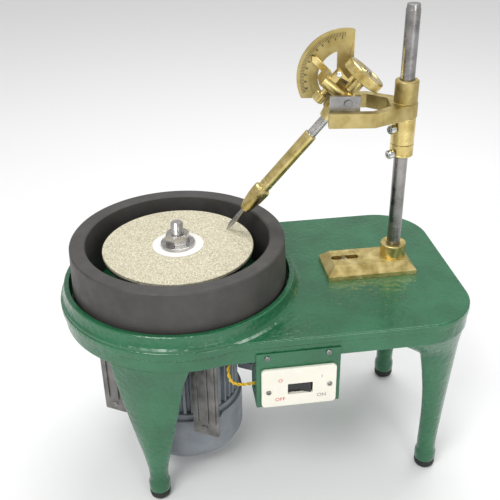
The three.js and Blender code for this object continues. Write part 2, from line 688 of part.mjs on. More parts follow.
// ---------------------------------------------------------------- assembly
add('table_casting', tableCasting(), 'green');
const FRONT_LEGS = [
  ['left', leg({ span: [-113, -34], foot: [FOOT_X[0], -FOOT_Y], forward: true, ease: 1.18, early: 0.2 })],
  ['right', leg({ span: [173, 290], foot: [FOOT_X[1], -FOOT_Y], forward: false, ease: 1, early: 0.85 })],
];
for (const [side, body] of FRONT_LEGS) {
  add(`leg_front_${side}`, body, 'green');
  add(`leg_rear_${side}`, mirrored(body), 'green');
}
FOOT_X.forEach((x, i) => {
  const side = i === 0 ? 'left' : 'right';
  add(`foot_front_${side}`, rubberFoot(x, -FOOT_Y), 'rubber');
  add(`foot_rear_${side}`, rubberFoot(x, FOOT_Y), 'rubber');
});
add('splash_ring', splashRing(), 'black');
add('platen', platen(), 'iron');
add('lap_disc', lapDisc(), 'lap');
add('lap_label', tube(8, 25.5, LAP_Z + SEAT, LAP_Z + 0.6, 64, SPX), 'white');
add('clamp_washer', tube(6.3, 17, LAP_Z + 0.7, LAP_Z + 3.6, 48, SPX), 'steel');
add('lap_nut', hexNut(SPX, 0, LAP_Z + 3.7, LAP_Z + 14, 21, 6.3), 'steel');
add('spindle_shaft', spindle(), 'steel');
add('motor_stator', stator(), 'grey');
add('motor_upper_bell', upperBell(), 'grey');
add('motor_fan_cowl', fanCowl(), 'grey');
add('motor_rotor', tube(7.5, 34.5, 92, 144, 40, SPX), 'steel');
add('motor_fan', fan(), 'black');
add('bearing_upper', bearing(180.2, 188.6, 6.4, 13), 'chrome');
add('bearing_lower', bearing(67, 79, 7.6, 15), 'chrome');
HANGERS.forEach((place, i) => add(`motor_hanger_${'abcd'[i]}`, hanger(place), 'grey'));
add('switch_bracket', switchBracket(), 'green');
add('switch_plate', switchPlate(), 'white');
add('switch_body', switchBody(), 'black');
add('switch_rocker', rocker(), 'black');
const SCREWS = [
  ['plate_screw_left', -8.6, 155.6, SW_Y - 5.16, 2.6, 1.2],
  ['plate_screw_right', 50, 159.4, SW_Y - 5.16, 2.6, 1.2],
  ['bracket_screw_left', -9.4, 193.4, SW_Y - 1.68, 2.8, 1.6],
  ['bracket_screw_right', 48.8, 194.4, SW_Y - 1.68, 2.8, 1.6],
];
for (const [name, ...size] of SCREWS) add(name, screwHead(...size), 'steel');
add('motor_lead', motorLead(), 'yellow');
add('base_plate', basePlate(), 'brass');
add('base_bolt', baseBolt(), 'steel');
add('mast', mast(), 'steel');
add('stop_collar', collarRing(337.2, 349.3, 340.8), 'brass');
add('stop_screw', capScrew(340.8), 'chrome');
add('lower_sleeve', collarRing(349.7, ARM_Z0 - GAP, 366), 'brass');
add('sleeve_screw', capScrew(366), 'chrome');
add('fork_arm', forkArm(), 'brass');
add('trunnion_yoke', yoke(), 'steel');
add('trunnion_pin_near', trunnionPin(-1), 'steel');
add('trunnion_pin_far', trunnionPin(1), 'steel');
add('quadrant', quadrant(), 'brass');
add('head_body', headBody(), 'brass');
add('pointer', pointer(), 'brass');
add('thumb_screw', thumbScrew(), 'brass');
add('index_pawl', indexPawl(), 'brass');
add('pawl_pin', pawlPin(), 'chrome');
add('quill_shaft', quillShaft(), 'steel');
add('quill_neck', quillNeck(), 'brass');
add('index_drum', indexDrum(), 'brass');
add('quill_sleeve', quillSleeve(), 'brass');
add('collet_chuck', chuck(), 'brass');
add('dop', dop(), 'steel');

export default group;
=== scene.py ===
import json
import math

import bmesh
import bpy
from mathutils import Matrix, Vector


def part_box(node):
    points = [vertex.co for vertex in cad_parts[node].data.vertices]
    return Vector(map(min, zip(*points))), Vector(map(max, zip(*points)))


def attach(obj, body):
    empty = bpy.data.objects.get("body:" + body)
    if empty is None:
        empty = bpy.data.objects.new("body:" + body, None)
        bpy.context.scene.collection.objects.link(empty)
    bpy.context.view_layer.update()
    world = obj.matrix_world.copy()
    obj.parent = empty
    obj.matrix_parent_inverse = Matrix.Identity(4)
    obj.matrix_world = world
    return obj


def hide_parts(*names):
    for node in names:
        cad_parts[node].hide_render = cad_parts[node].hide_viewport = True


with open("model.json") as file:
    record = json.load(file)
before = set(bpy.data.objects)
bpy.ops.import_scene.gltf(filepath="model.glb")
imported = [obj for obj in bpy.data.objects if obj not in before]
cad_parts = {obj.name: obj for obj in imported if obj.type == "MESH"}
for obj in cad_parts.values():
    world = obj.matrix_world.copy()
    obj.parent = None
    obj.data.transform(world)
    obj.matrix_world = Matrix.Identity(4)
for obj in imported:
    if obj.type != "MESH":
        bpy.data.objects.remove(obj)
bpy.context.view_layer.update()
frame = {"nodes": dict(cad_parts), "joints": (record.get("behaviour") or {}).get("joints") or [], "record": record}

# ---------------------------------------------------------------- places, from the frame
MM = 0.001
NODES = frame["nodes"]
JOINTS = {j["name"]: j for j in frame["joints"]}
SPINDLE_X = JOINTS["spindle_spin"]["pos_m"][0] / MM
MAST_X = JOINTS["arm_swing"]["pos_m"][0] / MM
TILT = Vector(JOINTS["quill_tilt"]["axis"]).normalized()
PIVOT = Vector(JOINTS["quill_tilt"]["pos_m"])
QUILL = Vector(JOINTS["quill_index"]["axis"]).normalized()
UP = Vector((0, 0, 1))
REACH = UP.cross(TILT)          # level, from the mast out along the arm


def axes(x, y, z, origin):
    """A placing matrix, from millimetres in its own axes to metres in the frame."""
    m = Matrix((x, y, z)).transposed().to_4x4()
    return Matrix.Translation(origin) @ m @ Matrix.Scale(MM, 4)


PLAIN = axes((1, 0, 0), (0, 1, 0), (0, 0, 1), (0, 0, 0))
AT_SPINDLE = axes((1, 0, 0), (0, 1, 0), (0, 0, 1), (SPINDLE_X * MM, 0, 0))
AT_MAST = axes((1, 0, 0), (0, 1, 0), (0, 0, 1), (MAST_X * MM, 0, 0))
HEAD = axes(TILT.cross(QUILL) * -1, TILT, QUILL, PIVOT)


def box_mm(node):
    lo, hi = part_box(node)
    return [c / MM for c in lo], [c / MM for c in hi]


# ---------------------------------------------------------------- shader kit
class Shader:
    """A procedural Principled material in object space, whose unit is the metre."""

    def __init__(self, name, colour, roughness, metallic=0.0, **sockets):
        self.mat = bpy.data.materials.new(name)
        self.mat.use_nodes = True
        self.tree = self.mat.node_tree
        self.bsdf = self.tree.nodes["Principled BSDF"]
        self.bsdf.inputs["Base Color"].default_value = (*colour, 1)
        self.bsdf.inputs["Roughness"].default_value = roughness
        self.bsdf.inputs["Metallic"].default_value = metallic
        for key, value in sockets.items():
            self.bsdf.inputs[key.replace("_", " ")].default_value = value
        self.place = self.node("ShaderNodeTexCoord").outputs["Object"]
        self.normal = None

    def node(self, kind, **settings):
        n = self.tree.nodes.new(kind)
        for key, value in settings.items():
            setattr(n, key, value)
        return n

    def wire(self, source, target):
        self.tree.links.new(source, target)

    def stretched(self, scale):
        m = self.node("ShaderNodeMapping")
        m.inputs["Scale"].default_value = scale
        self.wire(self.place, m.inputs["Vector"])
        return m.outputs["Vector"]

    def noise(self, scale, detail=3.0, rough=0.55, stretch=None):
        n = self.node("ShaderNodeTexNoise")
        n.inputs["Scale"].default_value = scale
        n.inputs["Detail"].default_value = detail
        n.inputs["Roughness"].default_value = rough
        self.wire(self.stretched(stretch) if stretch else self.place, n.inputs["Vector"])
        return n.outputs["Fac"]

    def cells(self, scale, feature="F1", smooth=None):
        n = self.node("ShaderNodeTexVoronoi", feature=feature)
        n.inputs["Scale"].default_value = scale
        if smooth is not None:
            n.inputs["Smoothness"].default_value = smooth
        self.wire(self.place, n.inputs["Vector"])
        return n.outputs["Distance"], n.outputs["Color"]

    def along(self, axis):
        """How far a point lies along an axis, in metres."""
        n = self.node("ShaderNodeVectorMath", operation="DOT_PRODUCT")
        n.inputs[1].default_value = axis
        self.wire(self.place, n.inputs[0])
        return n.outputs["Value"]

    def lines(self, axis, scale):
        """Fine turning marks across an axis."""
        n = self.node("ShaderNodeTexNoise", noise_dimensions="1D")
        n.inputs["Scale"].default_value = scale
        n.inputs["Detail"].default_value = 2.0
        self.wire(self.along(axis), n.inputs["W"])
        return n.outputs["Fac"]

    def span(self, value, low, high, start=0.3, end=0.7):
        n = self.node("ShaderNodeMapRange")
        for key, v in zip(("From Min", "From Max", "To Min", "To Max"), (start, end, low, high)):
            n.inputs[key].default_value = v
        self.wire(value, n.inputs["Value"])
        return n.outputs["Result"]

    def ramp(self, value, stops):
        n = self.node("ShaderNodeValToRGB")
        points = n.color_ramp.elements
        while len(points) < len(stops):
            points.new(0.5)
        for p, (at, colour) in zip(points, stops):
            p.position = at
            p.color = (*colour, 1)
        self.wire(value, n.inputs["Fac"])
        return n.outputs["Color"]

    def colour(self, socket):
        self.wire(socket, self.bsdf.inputs["Base Color"])

    def roughness(self, socket):
        self.wire(socket, self.bsdf.inputs["Roughness"])

    def bump(self, height, strength, depth):
        n = self.node("ShaderNodeBump")
        n.inputs["Strength"].default_value = strength
        n.inputs["Distance"].default_value = depth
        self.wire(height, n.inputs["Height"])
        if self.normal:
            self.wire(self.normal, n.inputs["Normal"])
        self.normal = n.outputs["Normal"]
        self.wire(self.normal, self.bsdf.inputs["Normal"])


def enamel():
    s = Shader("hammered_green_enamel", (0.012, 0.115, 0.045), 0.25, Coat_Weight=0.35, Coat_Roughness=0.12)
    s.colour(s.ramp(s.noise(24, 5), [(0.25, (0.006, 0.083, 0.032)), (0.5, (0.011, 0.116, 0.046)),
                                     (0.75, (0.019, 0.15, 0.064))]))
    s.roughness(s.span(s.noise(60, 4), 0.2, 0.36))
    s.bump(s.cells(210, "SMOOTH_F1", 0.9)[0], 0.5, 0.0016)
    s.bump(s.noise(420, 3), 0.25, 0.0005)
    return s.mat


def ring_plastic():
    s = Shader("ring_plastic", (0.05, 0.046, 0.043), 0.55)
    s.colour(s.ramp(s.noise(30, 6, 0.65), [(0.3, (0.04, 0.037, 0.035)), (0.62, (0.06, 0.056, 0.052)),
                                           (0.8, (0.085, 0.08, 0.074))]))
    s.roughness(s.span(s.noise(90, 4), 0.46, 0.66))
    s.bump(s.lines((0, 0, 1), 900), 0.25, 0.0003)
    s.bump(s.noise(1300, 2), 0.2, 0.0002)
    return s.mat


def grit():
    s = Shader("lap_grit", (0.6, 0.56, 0.42), 0.6, 0.25)
    s.colour(s.ramp(s.cells(950)[1], [(0.0, (0.3, 0.27, 0.19)), (0.35, (0.52, 0.48, 0.35)),
                                      (0.75, (0.66, 0.62, 0.47)), (1.0, (0.86, 0.83, 0.7))]))
    s.roughness(s.span(s.noise(700, 2), 0.45, 0.75))
    s.bump(s.cells(1100)[0], 0.5, 0.0005)
    return s.mat


def metal(name, dark, mid, light, rough, axis=None, grain=1400, marks=0.3):
    s = Shader(name, mid, rough, 1.0)
    s.colour(s.ramp(s.noise(70, 5, 0.6), [(0.3, dark), (0.52, mid), (0.72, light)]))
    s.roughness(s.span(s.noise(140, 5), rough * 0.75, rough * 1.35))
    if axis is None:
        s.bump(s.noise(grain, 2, stretch=(1, 1, 0.15)), marks, 0.00012)
    else:
        s.bump(s.lines(axis, grain), marks, 0.00015)
    return s.mat


def brass(name, axis=None, rough=0.3, shade=1.0):
    tones = [tuple(c * shade for c in t) for t in ((0.44, 0.33, 0.11), (0.66, 0.53, 0.22), (0.8, 0.67, 0.33))]
    return metal(name, *tones, rough, axis)


def steel(name, axis=None, rough=0.27, shade=1.0):
    tones = [tuple(c * shade for c in t) for t in ((0.24, 0.23, 0.22), (0.42, 0.41, 0.4), (0.56, 0.55, 0.54))]
    return metal(name, *tones, rough, axis)


def motor_paint():
    s = Shader("motor_paint", (0.2, 0.22, 0.245), 0.42)
    s.colour(s.ramp(s.noise(35, 5), [(0.3, (0.15, 0.168, 0.19)), (0.55, (0.205, 0.225, 0.25)),
                                     (0.8, (0.26, 0.28, 0.3))]))
    s.roughness(s.span(s.noise(120, 3), 0.34, 0.52))
    s.bump(s.noise(650, 4), 0.35, 0.0006)
    return s.mat


def moulded(name, colour, rough, fleck=0.1, grain=1600):
    s = Shader(name, colour, rough)
    dark = tuple(c * (1 - fleck) for c in colour)
    s.colour(s.ramp(s.noise(45, 5), [(0.35, dark), (0.65, colour)]))
    s.roughness(s.span(s.noise(150, 3), rough * 0.85, rough * 1.2))
    s.bump(s.noise(grain, 2), 0.15, 0.0002)
    return s.mat


MAT = {
    "green": enamel(),
    "rubber": moulded("foot_rubber", (0.018, 0.018, 0.019), 0.7, 0.3),
    "ring": ring_plastic(),
    "iron": steel("platen_iron", UP, 0.5, 0.35),
    "lap": grit(),
    "label": moulded("label_card", (0.8, 0.79, 0.75), 0.55, 0.06),
    "steel": steel("turned_steel", UP),
    "steel_dark": steel("dark_steel", UP, 0.33, 0.55),
    "steel_quill": steel("quill_steel", QUILL, 0.24, 1.1),
    "steel_plain": steel("plain_steel", None, 0.34, 0.72),
    "steel_top": steel("bright_steel", UP, 0.24, 1.25),
    "steel_mast": steel("mast_steel", UP, 0.3, 0.72),
    "chrome": metal("bright_chrome", (0.6, 0.62, 0.64), (0.74, 0.76, 0.78), (0.82, 0.84, 0.86), 0.1),
    "motor_grey": motor_paint(),
    "motor_plate": steel("hanger_steel", UP, 0.45, 0.55),
    "black_plastic": moulded("black_plastic", (0.014, 0.014, 0.016), 0.3, 0.2),
    "white_plastic": moulded("ivory_plastic", (0.78, 0.76, 0.66), 0.34, 0.04),
    "lead": moulded("yellow_insulation", (0.78, 0.5, 0.02), 0.4, 0.15),
    "brass": brass("cast_brass", None, 0.34),
    "brass_bright": brass("polished_brass", None, 0.2, 1.12),
    "brass_dull": brass("brushed_brass", None, 0.44, 0.72),
    "brass_mast": brass("turned_brass_upright", UP, 0.26, 1.08),
    "brass_quill": brass("turned_brass_quill", QUILL, 0.26, 1.0),
    "ink": moulded("engraving_ink", (0.03, 0.022, 0.012), 0.6),
    "red_mark": moulded("red_mark", (0.55, 0.03, 0.03), 0.5),
    "grey_mark": moulded("grey_mark", (0.16, 0.17, 0.18), 0.5),
}


# ---------------------------------------------------------------- shape kit
SMOOTH_ANGLE = 32               # edges that turn less are shaded smooth, in degrees


def smooth(obj, angle=SMOOTH_ANGLE):
    obj.data.shade_smooth()
    obj.data.set_sharp_from_angle(angle=math.radians(angle))
    fix = obj.modifiers.new("even_normals", "WEIGHTED_NORMAL")
    fix.keep_sharp = True


def raw_object(name, verts, faces, place=PLAIN):
    mesh = bpy.data.meshes.new(name)
    mesh.from_pydata([place @ Vector(v) for v in verts], [], faces)
    bm = bmesh.new()
    bm.from_mesh(mesh)
    bmesh.ops.remove_doubles(bm, verts=bm.verts, dist=1e-7)
    bmesh.ops.recalc_face_normals(bm, faces=bm.faces)
    bm.to_mesh(mesh)
    bm.free()
    obj = bpy.data.objects.new(name, mesh)
    bpy.context.scene.collection.objects.link(obj)
    return obj


REPLACED = set()


def finish_piece(obj, body, material, replaced=(), angle=SMOOTH_ANGLE):
    obj.data.materials.clear()
    obj.data.materials.append(MAT[material])
    smooth(obj, angle)
    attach(obj, body)
    if replaced:
        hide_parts(*replaced)
        REPLACED.update(replaced)


def bake(obj):
    """Apply an object's modifiers to its mesh."""
    seen = obj.evaluated_get(bpy.context.evaluated_depsgraph_get())
    mesh = bpy.data.meshes.new_from_object(seen)
    obj.modifiers.clear()
    obj.data = mesh
    return obj


def bevelled(obj, width, segments=2, angle=30):
    m = obj.modifiers.new("edge", "BEVEL")
    m.width = width * MM
    m.segments = segments
    m.limit_method = "ANGLE"
    m.angle_limit = math.radians(angle)
    m.harden_normals = False
    return bake(obj)


def combine(obj, tool, operation):
    m = obj.modifiers.new(operation.lower(), "BOOLEAN")
    m.object = tool
    m.operation = operation
    m.solver = "EXACT"
    bake(obj)
    bpy.data.objects.remove(tool)


def filleted(profile, radius):
    """The profile with its corners off the axis rounded, by three points each."""
    closed = (Vector(profile[0]) - Vector(profile[-1])).length < 1e-6
    pts = [Vector(p) for p in (profile[:-1] if closed else profile)]
    out = []
    for i, p in enumerate(pts):
        before = pts[i - 1] if i or closed else None
        after = pts[(i + 1) % len(pts)] if i + 1 < len(pts) or closed else None
        if before is None or after is None or p.x < 1e-6:
            out.append(p)
            continue
        a, b = before - p, after - p
        turn = math.pi - a.angle(b) if a.length and b.length else 0
        cut = min(radius * math.tan(turn / 2) if turn < 2.9 else radius, a.length * 0.45, b.length * 0.45)
        if turn < 0.3:
            out.append(p)
            continue
        p0, p2 = p + a.normalized() * cut, p + b.normalized() * cut
        mid = p0 * 0.25 + p * 0.5 + p2 * 0.25
        out += [p0, p0 * 0.5625 + p * 0.375 + p2 * 0.0625, mid, p0 * 0.0625 + p * 0.375 + p2 * 0.5625, p2]
    return out + ([out[0]] if closed else [])


def revolve(name, profile, place, segments=96, fillet=0.35, relief=None):
    """A turned shape. relief(angle, radius, height) may give another radius, for flutes and knurls."""
    points = filleted(profile, fillet) if fillet else [Vector(p) for p in profile]
    closed = (points[0] - points[-1]).length < 1e-6
    if closed:
        points = points[:-1]
    verts, rings = [], []
    for p in points:
        if p.x < 1e-6:
            rings.append([len(verts)] * segments)
            verts.append((0, 0, p.y))
            continue
        rings.append(list(range(len(verts), len(verts) + segments)))
        for k in range(segments):
            a = 2 * math.pi * k / segments
            r = relief(a, p.x, p.y) if relief else p.x
            verts.append((r * math.cos(a), r * math.sin(a), p.y))
    faces = []
    for i in range(len(rings) if closed else len(rings) - 1):
        low, high = rings[i], rings[(i + 1) % len(rings)]
        for k in range(segments):
            n = (k + 1) % segments
            face = [low[k], low[n], high[n], high[k]]
            face = list(dict.fromkeys(face))
            if len(face) > 2:
                faces.append(face)
    return raw_object(name, verts, faces, place)


def turned(name, profile, place, body, material, replaced=(), segments=96, fillet=0.35, relief=None):
    shape = revolve(name, profile, place, segments, fillet, relief)
    finish_piece(shape, body, material, replaced)


def prism(name, outline, z0, z1, place=PLAIN):
    n = len(outline)
    verts = [(x, y, z) for z in (z0, z1) for x, y in outline]
    faces = [list(range(n))[::-1], list(range(n, 2 * n))]
    faces += [[k, (k + 1) % n, n + (k + 1) % n, n + k] for k in range(n)]
    return raw_object(name, verts, faces, place)


def arc(cx, cy, r, a0, a1, step=3.0):
    n = max(2, math.ceil(abs(a1 - a0) / step))
    angles = [math.radians(a0 + (a1 - a0) * i / n) for i in range(n + 1)]
    return [(cx + r * math.cos(a), cy + r * math.sin(a)) for a in angles]


def rounded_box(x0, x1, y0, y1, r):
    return (arc(x1 - r, y0 + r, r, -90, 0, 8) + arc(x1 - r, y1 - r, r, 0, 90, 8)
            + arc(x0 + r, y1 - r, r, 90, 180, 8) + arc(x0 + r, y0 + r, r, 180, 270, 8))


def flutes(count, depth, low=-1e9, high=1e9):
    """A relief of even flutes round a turned piece, between two heights."""
    def radius(angle, r, z):
        if not low <= z <= high:
            return r
        return r - depth * (0.5 - 0.5 * math.cos(angle * count))
    return radius


def flat_marks(name, outlines, z0, z1, place, body):
    """Many small flat marks as one piece."""
    verts, faces = [], []
    for shape in outlines:
        n, base = len(shape), len(verts)
        verts += [(x, y, z) for z in (z0, z1) for x, y in shape]
        faces += [[base + k for k in range(n)][::-1], [base + n + k for k in range(n)]]
        faces += [[base + k, base + (k + 1) % n, base + n + (k + 1) % n, base + n + k] for k in range(n)]
    finish_piece(raw_object(name, verts, faces, place), body, "ink")


def lettering(name, text, size, place, body, material):
    data = bpy.data.curves.new(name, "FONT")
    data.body = text
    data.size = size
    data.extrude = 0.06
    data.align_x = "CENTER"
    data.align_y = "CENTER"
    data.resolution_u = 3
    word = bpy.data.objects.new(name + "_curve", data)
    bpy.context.scene.collection.objects.link(word)
    mesh = bpy.data.meshes.new_from_object(word.evaluated_get(bpy.context.evaluated_depsgraph_get()))
    bpy.data.objects.remove(word)
    mesh.transform(place)
    obj = bpy.data.objects.new(name, mesh)
    bpy.context.scene.collection.objects.link(obj)
    finish_piece(obj, body, material)


def smooth_by_angle(limit):
    """A node group that shades smooth every edge that turns less than the limit."""
    tree = bpy.data.node_groups.new("smooth_by_angle", "GeometryNodeTree")
    for way in ("INPUT", "OUTPUT"):
        tree.interface.new_socket("Geometry", in_out=way, socket_type="NodeSocketGeometry")
    start, end = (tree.nodes.new("NodeGroup" + way) for way in ("Input", "Output"))
    faces, edges = (tree.nodes.new("GeometryNodeSetShadeSmooth") for _ in range(2))
    edges.domain = "EDGE"
    edges.inputs["Shade Smooth"].default_value = False
    turn = tree.nodes.new("GeometryNodeInputMeshEdgeAngle")
    sharp = tree.nodes.new("FunctionNodeCompare")
    sharp.data_type = "FLOAT"
    sharp.operation = "GREATER_THAN"
    sharp.inputs[1].default_value = math.radians(limit)
    tree.links.new(turn.outputs["Unsigned Angle"], sharp.inputs[0])
    tree.links.new(sharp.outputs["Result"], edges.inputs["Selection"])
    for a, b in ((start, faces), (faces, edges), (edges, end)):
        tree.links.new(a.outputs[0], b.inputs[0])
    return tree


SMOOTH = smooth_by_angle(SMOOTH_ANGLE)
EASED_EDGE = 0.35               # bevel on the CAD nodes that stay, in millimetres


def whole_node(name, material):
    """A CAD node that stays: welded, its edges eased, smooth where it is round."""
    obj = NODES[name]
    obj.data.materials.clear()
    obj.data.materials.append(MAT[material])
    weld = obj.modifiers.new("weld", "WELD")
    weld.merge_threshold = 1e-6
    edge = obj.modifiers.new("edge", "BEVEL")
    edge.width = EASED_EDGE * MM
    edge.segments = 2
    edge.limit_method = "ANGLE"
    edge.angle_limit = math.radians(SMOOTH_ANGLE)
    round_off = obj.modifiers.new("smooth", "NODES")
    round_off.node_group = SMOOTH
    even = obj.modifiers.new("even_normals", "WEIGHTED_NORMAL")
    even.keep_sharp = True


BODY = {node: body for body, nodes in frame["record"]["behaviour"]["bodies"].items() for node in nodes}
SLOT = {s["node"]: s["material_slot"] for s in frame["record"]["subparts"]}


# ---------------------------------------------------------------- camera, floor and light
CAMERA_TURN = (-7.592, 30.331, -1.005)        # azimuth, elevation and roll, degrees
CAMERA_PLACE = (-0.1019, -0.6937, 0.6444)
CAMERA_LENS = 57.218
CAMERA_SHIFT = (0.0024, 0.0147)


def look():
    az, el, roll = (math.radians(a) for a in CAMERA_TURN)
    back = Vector((math.sin(az) * math.cos(el), -math.cos(az) * math.cos(el), math.sin(el)))
    level = Vector((math.cos(az), math.sin(az), 0))
    up = back.cross(level)
    right = level * math.cos(roll) + up * math.sin(roll)
    top = up * math.cos(roll) - level * math.sin(roll)
    data = bpy.data.cameras.new("camera")
    data.sensor_width = 36
    data.lens = CAMERA_LENS
    data.shift_x, data.shift_y = CAMERA_SHIFT
    cam = bpy.data.objects.new("camera", data)
    bpy.context.scene.collection.objects.link(cam)
    turn = Matrix((right, top, back)).transposed().to_4x4()
    cam.matrix_world = Matrix.Translation(CAMERA_PLACE) @ turn
    bpy.context.scene.camera = cam


FLOOR_SIZE = 6.0                # half width, metres
FLOOR_DROP = 0.0002             # just under the feet, so that the faces don't coincide


def floor():
    size = FLOOR_SIZE
    verts = [(-size, -size, 0), (size, -size, 0), (size, size, 0), (-size, size, 0)]
    mesh = bpy.data.meshes.new("floor")
    mesh.from_pydata(verts, [], [(0, 1, 2, 3)])
    obj = bpy.data.objects.new("floor", mesh)
    bpy.context.scene.collection.objects.link(obj)
    s = Shader("floor_paper", (0.9, 0.9, 0.9), 0.85)
    obj.data.materials.append(s.mat)
    obj.location.z = -FLOOR_DROP


def lamp(name, where, aim, size, power):
    data = bpy.data.lights.new(name, "AREA")
    data.shape = "RECTANGLE"
    data.size, data.size_y = size
    data.energy = power
    obj = bpy.data.objects.new(name, data)
    bpy.context.scene.collection.objects.link(obj)
    obj.location = where
    obj.rotation_euler = (Vector(aim) - Vector(where)).to_track_quat("-Z", "Y").to_euler()


def lights():
    middle = (0, 0, 0.25)
    lamp("key", (-0.7, -1.0, 1.6), middle, (0.7, 0.7), 15)
    lamp("top", (0.3, 0.5, 1.7), middle, (1.2, 0.5), 13)
    lamp("front", (0.5, -1.7, 0.7), middle, (0.5, 1.0), 7)
    world = bpy.data.worlds.new("studio")
    world.use_nodes = True
    world.node_tree.nodes["Background"].inputs["Color"].default_value = (1, 1, 1, 1)
    world.node_tree.nodes["Background"].inputs["Strength"].default_value = 0.62
    bpy.context.scene.world = world
    bpy.context.scene.view_settings.view_transform = "Standard"


look()
floor()
lights()

# ---------------------------------------------------------------- table
BAND = (121.0, 115.2, 201.3, 54.0)       # round end radius, half width, straight end, corner radius
SKIRT = (118.4, 114.0, 200.1, 52.8)
APRON_Z, STEP_Z, DECK_Z, RIM_Z = 188.5, 203.6, 211.9, 226.5
BOWL_R, BOWL_UNDER, BOWL_FLOOR = 110.7, 198.5, 206.5
SEAT = 0.08                     # gap under the splash ring


def outline(shape, inset=0.0):
    r, w, x, c = (v - inset for v in shape)
    a = math.degrees(math.asin(w / r))
    end = arc(SPINDLE_X, 0, r, a, 360 - a, 2)
    return end + arc(x - c, -w + c, c, -90, 0) + arc(x - c, w - c, c, 0, 90)


HUB_BORE, HUB_R, HUB_UNDER, HUB_TOP = 16.4, 28.0, 194.5, 218.5
RIM_PROFILE = [(117, BOWL_UNDER), (125.5, DECK_Z - 0.5), (123, DECK_Z + 0.2), (120.4, DECK_Z + 1.4),
               (118.2, DECK_Z + 4), (116.8, DECK_Z + 8), (116, RIM_Z - 1), (115, RIM_Z), (BOWL_R, RIM_Z)]
HUB_PROFILE = [(BOWL_R, BOWL_FLOOR), (HUB_R, BOWL_FLOOR), (22, HUB_TOP), (12, HUB_TOP), (12, HUB_TOP - 4),
               (HUB_BORE, HUB_TOP - 4), (HUB_BORE, HUB_UNDER)]


def casting():
    body = bevelled(prism("table_casting_fine", outline(SKIRT), APRON_Z, STEP_Z + 1), 1.3, 3)
    band = bevelled(prism("band", outline(BAND), STEP_Z, DECK_Z), 1.8, 4)
    combine(body, band, "UNION")
    combine(body, prism("hollow", outline(SKIRT, 6), APRON_Z - 2, DECK_Z - 7), "DIFFERENCE")
    mouth = arc(SPINDLE_X, 0, BOWL_R + 3, 0, 358, 2)
    combine(body, prism("bowl_hole", mouth, APRON_Z - 2, RIM_Z), "DIFFERENCE")
    profile = [(HUB_BORE, HUB_UNDER), (HUB_R, HUB_UNDER), (HUB_R, BOWL_UNDER)] + RIM_PROFILE + HUB_PROFILE
    bowl = revolve("bowl", profile, AT_SPINDLE, 180, 0.9)
    combine(bowl, prism("trim", outline(BAND, 1.1), APRON_Z - 5, RIM_Z + 5), "INTERSECT")
    combine(body, bowl, "UNION")
    finish_piece(body, "table", "green", ["table_casting"], 30)


def apron_point(u):
    """A point of the apron's lower edge and its outward direction, u along the front from the round end."""
    r, w, x, c = SKIRT
    a = math.asin(w / r)
    x0 = SPINDLE_X + math.cos(a) * r
    straight = x - c - x0
    if u < 0:
        t = -a + u / r
        return SPINDLE_X + math.cos(t) * r, math.sin(t) * r, math.cos(t), math.sin(t)
    if u < straight:
        return x0 + u, -w, 0, -1
    t = -math.pi / 2 + min((u - straight) / c, math.pi / 2)
    run = max(u - straight - c * math.pi / 2, 0)
    return x - c + c * math.cos(t), -w + c + c * math.sin(t) + run, math.cos(t), math.sin(t)


LEG_TOP, LEG_NECK, LEG_END = 188.42, 36.0, 9.12
SHANK_R, FOOT_R = 9.8, 11.2
LEG_POINTS = 24                 # across each face of a leg
# How far behind the apron the outer face lies, and the inner face at the top, and how much that one grows.
LEG_SKIN, LEG_THICK, LEG_SWELL = 1.2, 9, 6
PLATE_HEIGHTS = [LEG_TOP, LEG_TOP - 1.5, LEG_TOP - 3.5] + [LEG_TOP - 6 - i * 6 for i in range(25)]
LEG_HEIGHTS = PLATE_HEIGHTS + [31, 27, 25, 23, 21, 19, 16, 13, 11.5, 10.2, LEG_END]
# Each leg takes a span of the apron. One edge of it leads the other in turning into the shank.
LEGS = {
    "left": {"span": (-113, -34), "forward": True, "ease": 1.18, "early": 0.2},
    "right": {"span": (173, 290), "forward": False, "ease": 1.0, "early": 0.85},
}


def shank_radius(z):
    """The shank flares into a rounded collar just above the foot."""
    flare = min(max((26 - z) / 7, 0), 1)
    rolled = min(max((12.5 - z) / 3, 0), 1)
    return SHANK_R + (FOOT_R - SHANK_R) * flare * flare * (3 - 2 * flare) - 0.7 * rolled * rolled


def leg(name, foot, side, span, forward, ease, early):
    n = LEG_POINTS
    u0, u1 = span
    mid = apron_point((u0 + u1) / 2)
    facing = math.atan2(mid[3], mid[2])
    verts = []
    for z in LEG_HEIGHTS:
        t = min(max((LEG_TOP - z) / (LEG_TOP - LEG_NECK), 0), 1)
        slow = t ** ease
        quick = 0.5 * min(1, 7 * t) + 0.5 * (1 - (1 - t) ** 2)
        for k in range(2 * n):
            outer = k < n
            f = k / (n - 1) if outer else 1 - (k - n) / (n - 1)
            px, py, nx, ny = apron_point(u0 + (u1 - u0) * f)
            depth = LEG_SKIN if outer else LEG_THICK + LEG_SWELL * t
            w = slow + (quick - slow) * (f if forward else 1 - f) * early
            turn = facing + math.pi * ((k + 0.5) / n - 0.5)
            x = (px - nx * depth) * (1 - w) + (foot[0] + shank_radius(z) * math.cos(turn)) * w
            y = (py - ny * depth) * (1 - w) + (foot[1] + shank_radius(z) * math.sin(turn)) * w
            verts.append((x, y * side, z))
    m = 2 * n
    faces = [[i * m + k, i * m + (k + 1) % m, (i + 1) * m + (k + 1) % m, (i + 1) * m + k]
             for i in range(len(LEG_HEIGHTS) - 1) for k in range(m)]
    last = (len(LEG_HEIGHTS) - 1) * m
    faces += [[k, m - 1 - k, m - 2 - k, k + 1] for k in range(n - 1)]
    faces.append(list(range(last, last + m)))
    obj = bevelled(raw_object(name + "_fine", verts, faces), 0.9, 2, 50)
    finish_piece(obj, "table", "green", [name], 50)


